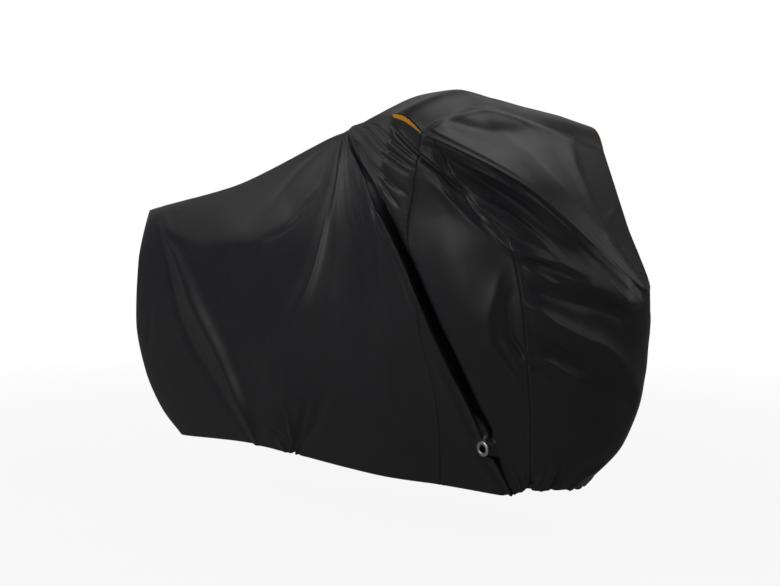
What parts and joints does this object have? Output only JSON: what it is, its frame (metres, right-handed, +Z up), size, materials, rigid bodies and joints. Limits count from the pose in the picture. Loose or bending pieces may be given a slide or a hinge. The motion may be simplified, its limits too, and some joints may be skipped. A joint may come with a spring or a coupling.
{
  "type": "bicycle cover",
  "caption": "Fitted black polyester cover draped over a saddle and a turned handlebar, with orange vent lips and metal eyelets near the hem.",
  "frame": {"origin": "the point where the underside of the cloth lies on the saddle", "axes": "+X towards the front wheel, +Y to the rider's left, +Z up; the ground is at z = -1.179"},
  "size_m": [1.9827, 0.6797, 1.138],
  "materials": {
    "shell_cloth": "black coated polyester, satin",
    "vent_cloth": "orange woven binding, matt",
    "eyelet_metal": "nickel-plated brass, polished"
  },
  "bodies": {
    "root": {"rear_right": "shell_cloth", "rear_left": "shell_cloth", "hood": "shell_cloth", "gusset_right": "shell_cloth", "gusset_left": "shell_cloth", "vent_lip_right": "vent_cloth", "vent_lip_left": "vent_cloth", "eyelet_right": "eyelet_metal", "eyelet_left": "eyelet_metal"}
  },
  "joints": []
}
